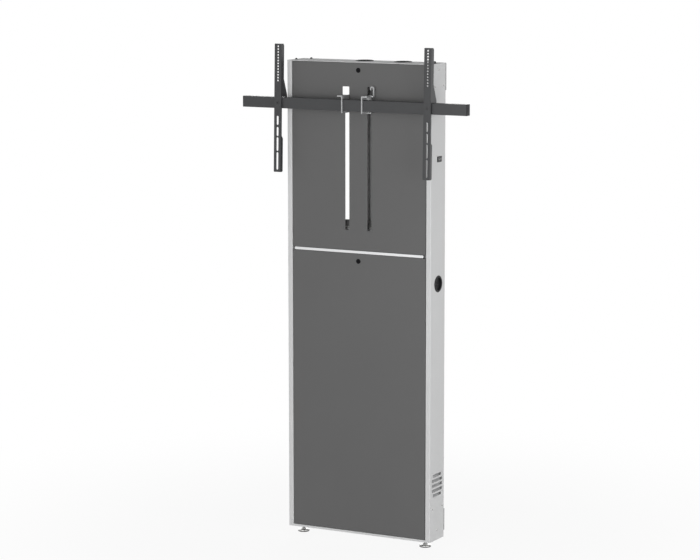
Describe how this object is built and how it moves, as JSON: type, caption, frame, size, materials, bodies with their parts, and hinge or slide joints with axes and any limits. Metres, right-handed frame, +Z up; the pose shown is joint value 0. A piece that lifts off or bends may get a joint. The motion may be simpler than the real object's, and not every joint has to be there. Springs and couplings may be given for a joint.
{
  "type": "wall-mounted tv lift",
  "caption": "Slim wall-mounted lift case with a screw-driven carriage, a crossbar and two hooked arms that raise and lower a flat screen",
  "frame": {"origin": "centre of the rectangle of four wall fixing holes, on the plane of the wall", "axes": "+X to the right as one faces the front, +Y into the wall, +Z up along the travel of the lift"},
  "size_m": [0.9, 0.1795, 1.8055],
  "materials": {
    "graphite_sheet": "fine textured powder coat, dark grey",
    "silver_sheet": "fine textured powder coat, silver grey",
    "bright_trim": "satin anodised",
    "dark_steel": "smooth dark grey enamel",
    "galvanised_sheet": "zinc plated sheet",
    "zinc_fastener": "zinc plated",
    "black_fastener": "black zinc plated",
    "turned_steel": "ground steel",
    "black_plastic": "matt black",
    "grey_plastic": "matt dark grey",
    "white_plastic": "natural white sliding plastic",
    "black_rubber": "matt black",
    "mast_metal": "dark anodised",
    "cast_housing": "cast and painted grey",
    "motor_metal": "black enamel",
    "bronze": "plain bronze",
    "lock_metal": "black chromed"
  },
  "bodies": {
    "case": {"left_side_wall": "silver_sheet", "right_side_wall": "silver_sheet", "side_screws": "zinc_fastener", "top_cover": "silver_sheet", "cover_screws": "black_fastener", "bottom_plate": "silver_sheet", "top_wall_rail": "galvanised_sheet", "bottom_wall_rail": "galvanised_sheet", "mid_cross_member": "galvanised_sheet", "trim_strip": "bright_trim", "upper_front_panel": "graphite_sheet", "upper_lock_housing": "lock_metal", "side_grommet": "black_plastic", "top_grommets": "black_plastic", "switch_housing": "black_plastic", "mast_profile": "mast_metal", "lower_mast_bracket": "galvanised_sheet", "upper_mast_bracket": "galvanised_sheet", "mast_bolts": "zinc_fastener", "lower_bearing_block": "cast_housing", "upper_bearing_block": "cast_housing", "gearbox": "cast_housing", "drive_motor": "motor_metal", "control_box": "grey_plastic", "mains_inlet": "black_plastic", "limit_switches": "black_plastic", "stop_buffers": "black_rubber", "buffer_seats": "zinc_fastener", "buffer_screws": "zinc_fastener", "foot_nuts": "zinc_fastener", "foot_inserts": "zinc_fastener"},
    "carriage": {"carriage_plate": "dark_steel", "spindle_nut": "bronze", "guide_pads": "white_plastic", "left_hook_plate": "galvanised_sheet", "right_hook_plate": "galvanised_sheet", "hook_plate_bolts": "zinc_fastener", "crossbar": "dark_steel", "bar_end_caps": "black_plastic"},
    "spindle_drive": {"spindle": "turned_steel", "shaft_coupling": "turned_steel", "gear_shaft": "turned_steel"},
    "left_arm": {"left_arm": "dark_steel", "left_arm_screw": "black_fastener"},
    "right_arm": {"right_arm": "dark_steel", "right_arm_screw": "black_fastener"},
    "lower_panel": {"lower_front_panel": "graphite_sheet", "lower_lock_housing": "lock_metal"},
    "lower_lock": {"lower_lock_plug": "lock_metal", "lower_lock_cam": "zinc_fastener"},
    "upper_lock": {"upper_lock_plug": "lock_metal", "upper_lock_cam": "zinc_fastener"},
    "rocker": {"switch_rocker": "grey_plastic"},
    "left_foot_pad": {"left_foot_pad": "zinc_fastener"},
    "right_foot_pad": {"right_foot_pad": "zinc_fastener"},
    "left_foot_stem": {"left_foot_stem": "zinc_fastener"},
    "right_foot_stem": {"right_foot_stem": "zinc_fastener"}
  },
  "joints": [
    {"name": "lift", "type": "slide", "parent": "case", "child": "carriage", "axis": [0, 0, 1], "range_m": [-0.388, 0.02]},
    {"name": "spindle_turn", "type": "hinge", "parent": "case", "child": "spindle_drive", "pos_m": [0, -0.042, 0.19725], "axis": [0, 0, 1], "range_deg": [-901, 17461]},
    {"name": "left_arm_slide", "type": "slide", "parent": "carriage", "child": "left_arm", "axis": [1, 0, 0], "range_m": [-0.13, 0.2]},
    {"name": "right_arm_slide", "type": "slide", "parent": "carriage", "child": "right_arm", "axis": [1, 0, 0], "range_m": [-0.2, 0.13]},
    {"name": "lower_panel_tilt", "type": "hinge", "parent": "case", "child": "lower_panel", "pos_m": [0, -0.1195, -0.85725], "axis": [1, 0, 0], "range_deg": [0, 15]},
    {"name": "lower_lock_turn", "type": "hinge", "parent": "lower_panel", "child": "lower_lock", "pos_m": [0, -0.1195, 0.13775], "axis": [0, -1, 0], "range_deg": [0, 90]},
    {"name": "upper_lock_turn", "type": "hinge", "parent": "case", "child": "upper_lock", "pos_m": [0, -0.1195, 0.82325], "axis": [0, -1, 0], "range_deg": [0, 90]},
    {"name": "rocker_tilt", "type": "hinge", "parent": "case", "child": "rocker", "pos_m": [0.284, -0.0545, 0.51425], "axis": [0, 0, 1], "range_deg": [-6, 6], "stiffness_Nm_per_rad": 0.05},
    {"name": "left_foot_lift", "type": "slide", "parent": "case", "child": "left_foot_pad", "axis": [0, 0, 1], "range_m": [-0.01, 0.005]},
    {"name": "left_foot_turn", "type": "hinge", "parent": "left_foot_pad", "child": "left_foot_stem", "pos_m": [-0.2515, -0.078, -0.88275], "axis": [0, 0, 1], "range_deg": [-2401, 1201]},
    {"name": "right_foot_lift", "type": "slide", "parent": "case", "child": "right_foot_pad", "axis": [0, 0, 1], "range_m": [-0.01, 0.005]},
    {"name": "right_foot_turn", "type": "hinge", "parent": "right_foot_pad", "child": "right_foot_stem", "pos_m": [0.2515, -0.078, -0.88275], "axis": [0, 0, 1], "range_deg": [-2401, 1201]}
  ],
  "couplings": [
    {"joint": "spindle_turn", "follows": "lift", "rad_per_m": -785.4},
    {"joint": "left_foot_turn", "follows": "left_foot_lift", "rad_per_m": 4188.8},
    {"joint": "right_foot_turn", "follows": "right_foot_lift", "rad_per_m": 4188.8}
  ]
}
